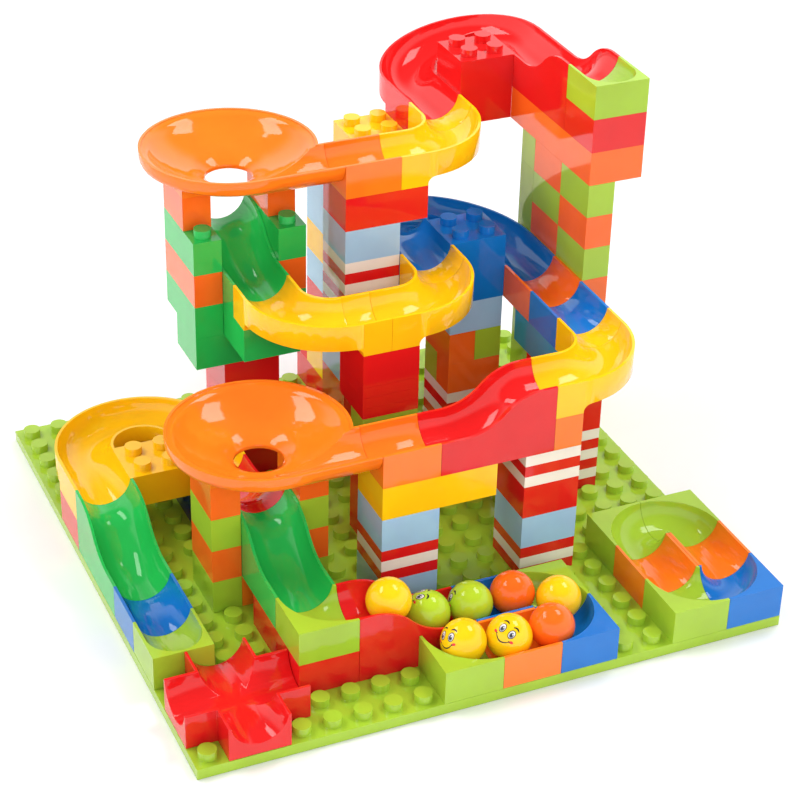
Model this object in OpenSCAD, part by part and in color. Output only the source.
// Marble run built from clip-together bricks and open track pieces on a studded base plate.
// Places are given in studs (one stud is one pitch), from the base plate's front left top corner:
// x runs right, y runs back, z runs up. The origin is the middle of the base plate's underside.

/* [Brick system] */
// distance between stud centres, mm
pitch = 16; // [14:0.5:18]
// height of a full brick, mm
brick_h = 19.2; // [17:0.1:21]
// thickness of brick and track walls, mm
wall = 1.5; // [1.2:0.1:2]
// gap left between neighbouring pieces, mm
gap = 0.2; // [0.1:0.05:0.4]
// gap left under a piece, mm
seat_gap = 0.05; // [0.02:0.01:0.1]
// diameter of a stud, mm
stud_d = 9.4; // [9:0.1:10]
// height of a stud, mm
stud_h = 4.4; // [4:0.1:4.8]

/* [Base plate] */
// studs along each side of the base plate
base_n = 20; // [16:1:24]
// thickness of the base plate, mm
base_t = 6; // [3:0.5:8]

/* [Track] */
// radius of the round channel, mm
channel_r = 14.5; // [14:0.1:14.8]
// height of the channel floor above the underside of a piece, mm
floor_h = 6.4; // [6:0.1:7]
// flat run at the low end of a slope, studs
slope_low_flat = 0.8; // [0.4:0.1:1.2]
// flat run at the high end of a slope, studs
slope_high_flat = 0.4; // [0.2:0.1:0.8]
// radius of the fillet beside the foot of a big curve, mm
foot_fillet = 4.5; // [2:0.5:4.5]

/* [Funnel] */
// radius of the funnel rim, studs
funnel_r = 3; // [2.6:0.1:3]
// diameter of the hole in the funnel, mm
funnel_hole_d = 26; // [25:0.5:28]
// thickness of the funnel shell, mm
shell_t = 1.6; // [1.2:0.1:2]

/* [Balls] */
// diameter of a ball, mm
ball_d = 23.4; // [20:0.1:24.5]
// gap left under a resting ball, mm
ball_gap = 0.3; // [0.2:0.05:0.5]

/* [Hidden] */
$fn = 48;
plate_h = brick_h / 3;
stud_clear = 0.5;
skin_z = floor_h - wall;
axis_h = floor_h + channel_r;
tube_r = 6.3;
tube_bore_r = 5;
post_r = 2.8;
arc_step = 4;
cut = 1;

red = [0.90, 0.09, 0.07];
orange = [1.00, 0.42, 0.05];
bright_orange = [1.00, 0.33, 0.02];
yellow = [1.00, 0.80, 0.05];
lime = [0.62, 0.80, 0.12];
green = [0.15, 0.72, 0.30];
blue = [0.06, 0.33, 0.80];
navy = [0.10, 0.14, 0.40];
grey_blue = [0.56, 0.70, 0.80];
cyan_blue = [0.15, 0.60, 0.72];
white = [0.90, 0.86, 0.80];

// node to draw

// ---- placing ----

// moves a piece to a place given in studs
module at(x, y, z) {
    translate([(x - base_n / 2) * pitch, (y - base_n / 2) * pitch, base_t + z * brick_h])
        children();
}

// turns a piece about the vertical axis, keeping its nx by ny stud footprint in the first quadrant
module turned(quarter, nx, ny) {
    shift = [[0, 0], [ny, 0], [nx, ny], [0, nx]][quarter];
    translate([shift[0] * pitch, shift[1] * pitch, 0])
        rotate([0, 0, 90 * quarter])
            children();
}

// ---- bricks ----

module studs(nx, ny, z) {
    for (i = [0 : nx - 1], j = [0 : ny - 1])
        translate([(i + 0.5) * pitch, (j + 0.5) * pitch, z])
            cylinder(d = stud_d, h = stud_h);
}

// outer block with the gap to its neighbours taken off each side and below
module block(nx, ny, h) {
    translate([gap / 2, gap / 2, seat_gap])
        cube([nx * pitch - gap, ny * pitch - gap, h - seat_gap]);
}

// tubes that grip the studs below a piece two or more studs wide
module grip_tubes(nx, ny, h, r) {
    for (i = [1 : nx - 1], j = [1 : ny - 1])
        translate([i * pitch, j * pitch, -cut])
            cylinder(r = r, h = h + cut);
}

// posts between the studs below a piece one stud wide
module grip_posts(nx, ny, h) {
    for (i = [1 : max(nx, ny) - 1])
        translate([nx > 1 ? i * pitch : pitch / 2, ny > 1 ? i * pitch : pitch / 2, 0])
            cylinder(r = post_r, h = h);
}

module brick_hollow(nx, ny, h) {
    difference() {
        translate([wall, wall, -cut])
            cube([nx * pitch - 2 * wall, ny * pitch - 2 * wall, h - wall + cut]);
        if (min(nx, ny) > 1)
            grip_tubes(nx, ny, h, tube_r);
        else
            grip_posts(nx, ny, h);
    }
}

module body(nx, ny, h) {
    difference() {
        block(nx, ny, h);
        brick_hollow(nx, ny, h);
        if (min(nx, ny) > 1)
            grip_tubes(nx, ny, h - wall, tube_bore_r);
    }
}

// brick of nx by ny studs; units is its height in bricks
module brick(nx, ny, units = 1) {
    body(nx, ny, units * brick_h);
    studs(nx, ny, units * brick_h - 0.01);
}

module plate(nx, ny) {
    brick(nx, ny, 1 / 3);
}

// one brick of a tower at the place x, y, z
module brick_at(x, y, z, nx = 2, ny = 2) {
    at(x, y, z)
        brick(nx, ny);
}

module plate_at(x, y, z) {
    at(x, y, z)
        plate(2, 2);
}

// ---- channels: every piece below has its underside at z = 0 ----

// straight channel along x, from x = a to x = b in studs, on the line y = 1 stud
module channel_x(a, b) {
    translate([a * pitch, pitch, axis_h])
        rotate([0, 90, 0])
            cylinder(r = channel_r, h = (b - a) * pitch);
}

// channel bent about the point cx, cy in studs, from angle a to angle b, bend radius r in studs
module channel_bend(cx, cy, r, a, b) {
    translate([cx * pitch, cy * pitch, axis_h])
        rotate([0, 0, a])
            rotate_extrude(angle = b - a)
                translate([r * pitch, 0])
                    circle(r = channel_r);
}

// hollow underside of a track piece two studs wide
module track_hollow(nx, ny) {
    difference() {
        translate([wall, wall, -cut])
            cube([nx * pitch - 2 * wall, ny * pitch - 2 * wall, skin_z + cut]);
        difference() {
            grip_tubes(nx, ny, skin_z, tube_r);
            grip_tubes(nx, ny, skin_z + cut, tube_bore_r);
        }
    }
}

module straight_track(n = 2) {
    difference() {
        block(n, 2, brick_h);
        channel_x(-cut, n + cut);
        track_hollow(n, 2);
    }
}

// closed rounded end at low x, open at high x
module end_track() {
    difference() {
        block(2, 2, brick_h);
        channel_x(1, 2 + cut);
        translate([pitch, pitch, axis_h])
            sphere(r = channel_r);
        track_hollow(2, 2);
    }
}

// bend inside a 2 by 2 block, about its corner at the origin
module corner_track() {
    difference() {
        block(2, 2, brick_h);
        channel_bend(0, 0, 1, -1, 91);
        track_hollow(2, 2);
    }
}

// two channels that cross in the middle of a plus shape
module cross() {
    difference() {
        union() {
            translate([0, pitch, 0])
                block(4, 2, brick_h);
            translate([pitch, 0, 0])
                block(2, 4, brick_h);
        }
        translate([0, pitch, 0])
            channel_x(-cut, 4 + cut);
        translate([3 * pitch, 0, 0])
            rotate([0, 0, 90])
                channel_x(-cut, 4 + cut);
        translate([0, pitch, 0])
            cross_arm_hollow(4, 2);
        translate([pitch, 0, 0])
            cross_arm_hollow(2, 4);
    }
}

module cross_arm_hollow(nx, ny) {
    translate([wall, wall, -cut])
        cube([nx * pitch - 2 * wall, ny * pitch - 2 * wall, skin_z + cut]);
}

// ---- slope: low end at x = 0, high end at x = 4 studs, one brick higher ----

slope_n = 4;
slope_run = (slope_n - slope_low_flat - slope_high_flat) * pitch;
slope_angle = 2 * atan(brick_h / slope_run);
slope_r = slope_run / (2 * sin(slope_angle));
low_x = slope_low_flat * pitch;
high_x = (slope_n - slope_high_flat) * pitch;
// the two arcs lap by a hair and the upper one is a hair wider, so no film is left between them
arc_lap = 0.1;
arc_ease = 0.02;

// side outline of everything below the wall top, shifted down by d square to the curve
module slope_outline(d, inset) {
    low_arc = [for (a = [0 : arc_step : slope_angle + arc_step])
        let (b = min(a, slope_angle))
        [low_x + (slope_r + d) * sin(b), brick_h + slope_r - (slope_r + d) * cos(b)]];
    high_arc = [for (a = [0 : arc_step : slope_angle])
        let (b = slope_angle - a)
        [high_x - (slope_r - d) * sin(b), 2 * brick_h - slope_r + (slope_r - d) * cos(b)]];
    polygon(concat(
        [[slope_n * pitch - inset, 0], [inset, 0], [inset, brick_h - d]],
        low_arc,
        high_arc,
        [[slope_n * pitch - inset, 2 * brick_h - d]]
    ));
}

module slope_slab(d, inset) {
    translate([0, 2 * pitch - inset, 0])
        rotate([90, 0, 0])
            linear_extrude(2 * pitch - 2 * inset)
                slope_outline(d, inset);
}

// the round channel swept along the slope
module slope_channel() {
    rise = channel_r - (brick_h - floor_h);
    channel_x(-cut, slope_low_flat);
    translate([0, 0, brick_h])
        channel_x(slope_n - slope_high_flat, slope_n + cut);
    translate([low_x, pitch, brick_h + slope_r])
        rotate([90, 0, 0])
            rotate([0, 0, -90])
                rotate_extrude(angle = slope_angle + arc_lap)
                    translate([slope_r - rise, 0])
                        circle(r = channel_r);
    translate([high_x, pitch, 2 * brick_h - slope_r])
        rotate([90, 0, 0])
            rotate([0, 0, 90])
                rotate_extrude(angle = slope_angle)
                    translate([slope_r + rise, 0])
                        circle(r = channel_r + arc_ease);
}

module slope_track() {
    difference() {
        slope_slab(0, gap / 2);
        slope_channel();
        slope_slab(brick_h - skin_z, wall);
        translate([wall, wall, -cut])
            cube([slope_n * pitch - 2 * wall, 2 * pitch - 2 * wall, cut + 0.01]);
    }
}

// ---- big curve: 4 by 4 studs, from the low x end at y = 0..2 to the high y end at x = 2..4 ----

module ring_sector(r_in, r_out, h, z, quarter_n) {
    translate([0, 0, z])
        rotate_extrude(angle = 90 * quarter_n)
            translate([r_in, 0])
                square([r_out - r_in, h - z]);
}

module curve_foot() {
    block(1, 2, brick_h);
    // fillet between the foot and the raised skirt, on both walls
    for (y = [gap / 2, 2 * pitch - gap / 2 - wall])
        difference() {
            translate([pitch - gap, y, skin_z - foot_fillet])
                cube([foot_fillet, wall, foot_fillet]);
            translate([pitch - gap + foot_fillet, y - cut, skin_z - foot_fillet])
                rotate([-90, 0, 0])
                    cylinder(r = foot_fillet, h = wall + 2 * cut);
        }
}

module big_curve() {
    difference() {
        union() {
            curve_foot();
            translate([4 * pitch, 4 * pitch, 0])
                mirror([1, 1, 0])
                    curve_foot();
            translate([pitch, 3 * pitch, 0])
                rotate([0, 0, -90])
                    ring_sector(pitch + gap / 2, 3 * pitch - gap / 2, brick_h, skin_z, 1);
            translate([pitch - 1, gap / 2, skin_z])
                cube([1, 2 * pitch - gap, brick_h - skin_z]);
        }
        channel_x(-cut, 1);
        channel_bend(1, 3, 2, -90, 0);
        translate([4 * pitch, 3 * pitch, 0])
            rotate([0, 0, 90])
                channel_x(0, 1 + cut);
        foot_hollow();
        translate([4 * pitch, 4 * pitch, 0])
            mirror([1, 1, 0])
                foot_hollow();
    }
}

module foot_hollow() {
    translate([wall, wall, -cut])
        cube([pitch - 2 * wall, 2 * pitch - 2 * wall, skin_z + cut]);
}

// ---- U-turns: legs at x = 0..2 and x = 4..6, block with studs between them, ring behind ----

module u_turn_block(h) {
    translate([2 * pitch, 0, 0]) {
        difference() {
            translate([-gap, gap / 2, seat_gap])
                cube([2 * pitch + 2 * gap, 2 * pitch - gap, h - seat_gap]);
            brick_hollow(2, 2, h);
            grip_tubes(2, 2, h - wall, tube_bore_r);
        }
        studs(2, 2, h - 0.01);
    }
}

module u_turn_leg() {
    difference() {
        block(2, 2, brick_h);
        track_hollow(2, 2);
    }
}

// level U-turn, one brick high
module flat_u_turn_track() {
    difference() {
        union() {
            u_turn_leg();
            translate([4 * pitch, 0, 0])
                u_turn_leg();
            u_turn_block(brick_h);
            translate([3 * pitch, 2 * pitch - gap / 2, 0])
                ring_sector(pitch + gap / 2, 3 * pitch - gap / 2, brick_h, skin_z, 2);
        }
        for (x = [2, 6])
            translate([x * pitch, 0, 0])
                rotate([0, 0, 90])
                    channel_x(-cut, 2);
        channel_bend(3, 2, 2, 0, 180);
    }
}

// U-turn that drops one brick from the leg at high x to the leg at low x
module falling_u_turn_track() {
    difference() {
        union() {
            u_turn_leg();
            translate([4 * pitch, 0, brick_h])
                u_turn_leg();
            u_turn_block(2 * brick_h);
        }
        translate([2 * pitch, 0, 0])
            rotate([0, 0, 90])
                channel_x(-cut, 2);
        translate([6 * pitch, 0, brick_h])
            rotate([0, 0, 90])
                channel_x(-cut, 2);
    }
    translate([3 * pitch, 2 * pitch, 0])
        falling_ring();
}

// half ring of trough that rises smoothly from the low leg to the high leg
fall_steps = 36;

// height gained at a point of the half turn, 0 at the low leg and one brick at the high leg
function fall_z(a) = brick_h * (1 - cos(a)) / 2;

// cross-section of the trough, radius first: inner wall, channel arc, outer wall
// it is a little slimmer than the legs, so that its ends sit inside their walls
lap = 0.1;
lap_depth = 2;
trough_arc = 20;
trough_r = channel_r + lap;
trough_top = brick_h - lap;
half_mouth = asin((trough_top - axis_h) / trough_r);
function trough_section() = concat(
    [[pitch + gap / 2 + lap, skin_z + lap], [pitch + gap / 2 + lap, trough_top]],
    [for (i = [0 : trough_arc])
        let (a = 180 - half_mouth + i * (180 + 2 * half_mouth) / trough_arc)
        [2 * pitch + trough_r * cos(a), axis_h + trough_r * sin(a)]],
    [[3 * pitch - gap / 2 - lap, trough_top], [3 * pitch - gap / 2 - lap, skin_z + lap]]
);

module falling_ring() {
    section = trough_section();
    n = len(section);
    last = fall_steps + 2;
    points = concat(
        [for (p = section) [-p[0], -lap_depth, p[1]]],
        [for (k = [0 : fall_steps], p = section)
            let (a = 180 - 180 * k / fall_steps)
            [p[0] * cos(a), p[0] * sin(a), p[1] + fall_z(180 - a)]],
        [for (p = section) [p[0], -lap_depth, p[1] + brick_h]]
    );
    sides = [for (k = [0 : last - 1], i = [0 : n - 1])
        [k * n + i, k * n + (i + 1) % n, (k + 1) * n + (i + 1) % n, (k + 1) * n + i]];
    // end faces, as fans of triangles about the two bottom corners
    middle = 2 + trough_arc / 2;
    fans = concat(
        [for (i = [1 : middle - 1]) [0, i, i + 1]],
        [[0, middle, n - 1]],
        [for (i = [middle : n - 3]) [n - 1, i, i + 1]]
    );
    first_end = [for (t = fans) [t[2], t[1], t[0]]];
    last_end = [for (t = fans) [for (i = t) last * n + i]];
    polyhedron(points, concat(sides, first_end, last_end));
}

// ---- funnel: 6 by 6 studs, bowl in the middle, arm that comes in along the front at high x ----

funnel_rim = funnel_r * pitch - gap / 2;
hole_r = funnel_hole_d / 2;

// inner surface of the bowl from the hole to the rim, radius and height
bowl_line = [
    [hole_r, 1], [hole_r + 3.5, 3.8], [hole_r + 7, 5.6], [hole_r + 13, 7.4], [hole_r + 19, 9.8],
    [hole_r + 25, 13], [hole_r + 29, 16], [funnel_rim - 4.6, 17.6], [funnel_rim - wall, 18.6]
];

// outer surface of the bowl from the hole to the rim
shell_line = [
    [hole_r, -1], [hole_r + 1.6, -1], [hole_r + 4.5, 1.8], [hole_r + 7.8, 3.6],
    [hole_r + 13.5, 5.4], [hole_r + 20, 7.8], [funnel_rim - 8, 8.6], [funnel_rim - 3.5, 10.2],
    [funnel_rim - 0.8, 12.2], [funnel_rim, 14.5]
];

module bowl_shape() {
    rotate_extrude()
        polygon(concat(shell_line, [[funnel_rim, brick_h], [hole_r, brick_h]]));
}

module bowl_inside() {
    rotate_extrude()
        polygon(concat(
            [[0, brick_h + cut], [0, -cut - 1], [hole_r, -cut - 1]],
            bowl_line,
            [[funnel_rim - wall, brick_h + cut]]
        ));
}

// sockets that sit on the posts under the bowl
module funnel_sockets() {
    for (x = [-2, 1])
        translate([x * pitch + gap / 2, -pitch + gap / 2, 0])
            cube([pitch - gap, 2 * pitch - gap, 9]);
}

module funnel_stud_room() {
    for (x = [-1.5, 1.5], y = [-0.5, 0.5])
        translate([x * pitch, y * pitch, -cut])
            cylinder(d = stud_d + 0.2, h = stud_h + 0.2 + cut);
}

module funnel_arm() {
    intersection() {
        translate([0, -2 * pitch, axis_h])
            rotate([0, 90, 0])
                cylinder(r = pitch - gap / 2, h = 3 * pitch - gap / 2);
        translate([0, -3 * pitch, 0])
            cube([3 * pitch, 2 * pitch, brick_h]);
    }
}

module funnel() {
    translate([3 * pitch, 3 * pitch, 0])
        difference() {
            union() {
                bowl_shape();
                funnel_sockets();
                funnel_arm();
            }
            bowl_inside();
            funnel_stud_room();
            translate([0, -2 * pitch, axis_h])
                rotate([0, 90, 0])
                    cylinder(r = channel_r, h = 3 * pitch + cut);
        }
}

// ---- base plate ----

module base_plate() {
    color(lime)
        translate([-base_n / 2 * pitch, -base_n / 2 * pitch, 0]) {
            cube([base_n * pitch, base_n * pitch, base_t]);
            studs(base_n, base_n, base_t - 0.01);
        }
}

// ---- tracks on the left and in front of the lower funnel ----

module cross_track() {
    color(red)
        at(0, 0, 0)
            cross();
}

module left_end_track() {
    color(lime)
        at(0, 4, 0)
            turned(1, 2, 2)
                end_track();
}

module left_straight() {
    color(blue)
        at(0, 6, 0)
            turned(1, 2, 2)
                straight_track();
}

module left_slope() {
    color(green)
        at(0, 8, 0)
            turned(1, 4, 2)
                slope_track();
}

module flat_u_turn() {
    color(yellow)
        at(0, 12, 1)
            flat_u_turn_track();
}

module u_turn_foot_red() {
    color(red)
        brick_at(0, 12, 0);
}

module u_turn_foot_navy() {
    color(navy)
        brick_at(4, 12, 0);
}

module lower_corner() {
    color(lime)
        at(4, 2, 1)
            turned(2, 2, 2)
                corner_track();
}

module lower_slope() {
    color(green)
        at(4, 4, 1)
            turned(1, 4, 2)
                slope_track();
}

module lower_back_slope() {
    color(red)
        at(4, 8, 1)
            turned(3, 4, 2)
                slope_track();
}

module lower_funnel() {
    color(orange)
        at(2, 5, 4)
            funnel();
}

module lower_post_lime() {
    color(lime)
        for (x = [3, 6], z = [0, 2])
            brick_at(x, 7, z, 1, 2);
}

module lower_post_orange() {
    color(bright_orange)
        for (x = [3, 6], z = [1, 3])
            brick_at(x, 7, z, 1, 2);
}

// ---- tracks in the middle and on the right ----

module beam_yellow() {
    color(yellow)
        brick_at(8, 5, 3, 4, 2);
}

module middle_straight() {
    color(orange)
        at(8, 5, 4)
            straight_track();
}

module middle_slope() {
    color(red)
        at(10, 5, 4)
            slope_track();
}

module middle_curve() {
    color(yellow)
        at(14, 5, 5)
            big_curve();
}

module right_straight_blue() {
    color(blue)
        at(16, 9, 5)
            turned(1, 2, 2)
                straight_track();
}

module right_straight_orange() {
    color(bright_orange)
        at(16, 11, 5)
            turned(1, 2, 2)
                straight_track();
}

module blue_u_turn() {
    color(blue)
        at(18, 13, 5)
            mirror([1, 0, 0])
                falling_u_turn_track();
}

module centre_curve_left() {
    color(yellow)
        at(6, 9, 6)
            turned(3, 4, 4)
                big_curve();
}

module centre_curve_right() {
    color(yellow)
        at(10, 9, 6)
            big_curve();
}

// ---- tracks at the top and at the back ----

module upper_slope() {
    color(green)
        at(6, 13, 6)
            turned(1, 4, 2)
                slope_track();
}

module upper_funnel() {
    color(orange)
        at(4, 13, 9)
            funnel();
}

module upper_post_green() {
    color(green) {
        for (x = [5, 8], z = [5, 7])
            brick_at(x, 14, z, 1, 3);
        brick_at(6, 12, 5, 2, 4);
        brick_at(5, 14, 4, 4, 2);
    }
}

module upper_post_orange() {
    color(bright_orange)
        for (x = [5, 8]) {
            brick_at(x, 14, 6, 1, 3);
            brick_at(x, 15, 8, 1, 2);
        }
}

module top_straight() {
    color(orange)
        at(10, 13, 9)
            straight_track();
}

module top_curve() {
    color(yellow)
        at(12, 13, 9)
            big_curve();
}

module red_u_turn() {
    color(red)
        at(14, 17, 9)
            falling_u_turn_track();
}

module top_slope() {
    color(red)
        at(18, 13, 10)
            turned(3, 4, 2)
                slope_track();
}

module start_track() {
    color(lime)
        at(18, 11, 11)
            turned(1, 2, 2)
                end_track();
}

// ---- ball tray at the front and loop on the right ----

module ramp() {
    color(red)
        at(6, 2, 0)
            turned(2, 4, 2)
                slope_track();
}

module tray_straight_blue() {
    color(blue)
        at(10, 2, 0)
            straight_track();
}

module tray_straight_orange() {
    color(orange)
        at(10, 0, 0)
            straight_track();
}

module tray_corner_blue() {
    color(blue)
        at(12, 0, 0)
            turned(3, 2, 2)
                corner_track();
}

module tray_corners_lime() {
    color(lime) {
        at(12, 2, 0)
            corner_track();
        at(8, 0, 0)
            turned(2, 2, 2)
                corner_track();
    }
}

module loop_corners_lime() {
    color(lime) {
        at(18, 4, 0)
            corner_track();
        at(16, 4, 0)
            turned(1, 2, 2)
                corner_track();
        at(16, 0, 0)
            turned(2, 2, 2)
                corner_track();
    }
}

module loop_corner_blue() {
    color(blue)
        at(18, 0, 0)
            turned(3, 2, 2)
                corner_track();
}

module loop_straights() {
    color(orange)
        for (x = [16, 18])
            at(x, 2, 0)
                turned(1, 2, 2)
                    straight_track();
}

// ---- bricks and plates of the supports, by colour ----

third = 1 / 3;

module front_bricks_red() {
    color(red) {
        brick_at(4, 2, 0, 2, 4);
        brick_at(13, 5, 2);
        for (z = [1, 1 + 2 * third])
            plate_at(8, 5, z);
        for (z = [0, 2 * third, 3 + third])
            plate_at(13, 5, z);
    }
}

module front_bricks_orange() {
    color(orange) {
        brick_at(4, 7, 0);
        brick_at(14, 5, 4, 1, 2);
    }
}

module plates_white() {
    color(white) {
        plate_at(8, 5, 1 + third);
        for (z = [third, 3, 3 + 2 * third])
            plate_at(13, 5, z);
        for (z = [third, 1, 1 + 2 * third]) {
            plate_at(16, 9, z);
            plate_at(14, 13, z);
        }
        for (z = [5 + third, 6, 6 + 2 * third])
            plate_at(10, 13, z);
    }
}

module bricks_grey_blue() {
    color(grey_blue) {
        for (z = [0, 2])
            brick_at(8, 5, z);
        brick_at(13, 5, 1);
        brick_at(14, 13, 4);
        for (z = [3, 4, 7])
            brick_at(10, 13, z);
        plate_at(10, 13, 0);
        for (z = [2, 4, 6])
            brick_at(11, 17, z, 1, 2);
        brick_at(11, 17, 7);
    }
}

module brick_cyan() {
    color(cyan_blue)
        brick_at(16, 8, 4, 2, 4);
}

module right_bricks_red() {
    color(red) {
        for (z = [2, 3])
            brick_at(16, 9, z);
        for (z = [0, 2 * third, 1 + third]) {
            plate_at(16, 9, z);
            plate_at(14, 13, z);
        }
    }
}

module right_bricks_orange() {
    color(bright_orange) {
        brick_at(14, 13, 3, 1, 2);
        brick_at(14, 13, 2, 2, 1);
    }
}

module right_bricks_lime() {
    color(lime) {
        brick_at(15, 13, 3, 1, 2);
        brick_at(14, 14, 2, 2, 1);
        brick_at(9, 9, 3, 2, 1);
    }
}

module tall_tower_orange() {
    color(bright_orange) {
        for (z = [1 : 2 : 7])
            brick_at(18, 11, z, 1, 2);
        for (z = [0 : 2 : 8])
            brick_at(18, 13, z, 1, 2);
        brick_at(18, 11, 9, 2, 6);
    }
}

module tall_tower_lime() {
    color(lime) {
        for (z = [0 : 2 : 8])
            brick_at(18, 11, z, 1, 2);
        for (z = [1 : 2 : 7])
            brick_at(18, 13, z, 1, 2);
        for (z = [0 : 8])
            brick_at(18, 15, z, 2, 1);
        brick_at(19, 13, 8, 1, 2);
    }
}

module back_bricks_red() {
    color(red) {
        for (z = [0 : 3])
            brick_at(6, 14, z);
        for (z = [0 : 2])
            brick_at(9, 9, z, 2, 1);
        brick_at(9, 9, 5);
        for (z = [4, 4 + third, 4 + 2 * third])
            plate_at(9, 9, z);
        for (z = [third, 2 * third, 5, 5 + 2 * third, 6 + third])
            plate_at(10, 13, z);
        for (z = [1, 2])
            brick_at(10, 13, z);
        brick_at(11, 16, 0, 2, 4);
        brick_at(11, 17, 3, 1, 2);
        brick_at(10, 13, 8, 3, 2);
        brick_at(18, 11, 10);
    }
}

module back_bricks_yellow() {
    color(yellow) {
        for (z = [1, 5])
            brick_at(11, 17, z, 1, 2);
        brick_at(12, 17, 8, 4, 2);
    }
}

// ---- balls, queued in the tray and up the ramp ----

ball_r = ball_d / 2;
ball_z = floor_h + ball_r + ball_gap;
// how far the first ball sits up the side of its channel
first_ball_rise = 0.8;
ramp_x = 10;

// height of a ball on the ramp, at x studs
function ramp_ball_z(x) =
    let (u = (ramp_x - x) * pitch,
        depth = brick_h - floor_h,
        low_track = slope_r + depth - ball_r - ball_gap,
        high_track = slope_r - depth + ball_r + ball_gap,
        low_side = asin((u - low_x) / low_track),
        high_side = asin(max(-1, min(1, (high_x - u) / high_track))))
    high_side > slope_angle
        ? brick_h + slope_r - low_track * cos(low_side)
        : 2 * brick_h - slope_r + high_track * cos(high_side);

module ball(x, y, z, tint) {
    color(tint)
        at(x, y, 0)
            translate([0, 0, z])
                sphere(d = ball_d);
}

module ball_1() {
    ball(9.17, 1.25, ball_z + first_ball_rise, yellow);
}

module ball_2() {
    ball(10.63, 1, ball_z, yellow);
}

module ball_3() {
    ball(12.12, 1, ball_z, bright_orange);
}

module ball_4() {
    ball(12.98, 2.21, ball_z, yellow);
}

module ball_5() {
    ball(11.72, 3, ball_z, bright_orange);
}

module ball_6() {
    ball(10.23, 3, ball_z, lime);
}

module ball_7() {
    ball(8.74, 3, ramp_ball_z(8.74), lime);
}

module ball_8() {
    ball(7.39, 3, ramp_ball_z(7.39), yellow);
}

base_plate();
cross_track();
left_end_track();
left_straight();
left_slope();
flat_u_turn();
u_turn_foot_red();
u_turn_foot_navy();
lower_corner();
lower_slope();
lower_back_slope();
lower_funnel();
lower_post_lime();
lower_post_orange();
beam_yellow();
middle_straight();
middle_slope();
middle_curve();
right_straight_blue();
right_straight_orange();
blue_u_turn();
centre_curve_left();
centre_curve_right();
upper_slope();
upper_funnel();
upper_post_green();
upper_post_orange();
top_straight();
top_curve();
red_u_turn();
top_slope();
start_track();
ramp();
tray_straight_blue();
tray_straight_orange();
tray_corner_blue();
tray_corners_lime();
loop_corners_lime();
loop_corner_blue();
loop_straights();
front_bricks_red();
front_bricks_orange();
plates_white();
bricks_grey_blue();
brick_cyan();
right_bricks_red();
right_bricks_orange();
right_bricks_lime();
tall_tower_orange();
tall_tower_lime();
back_bricks_red();
back_bricks_yellow();
ball_1();
ball_2();
ball_3();
ball_4();
ball_5();
ball_6();
ball_7();
ball_8();
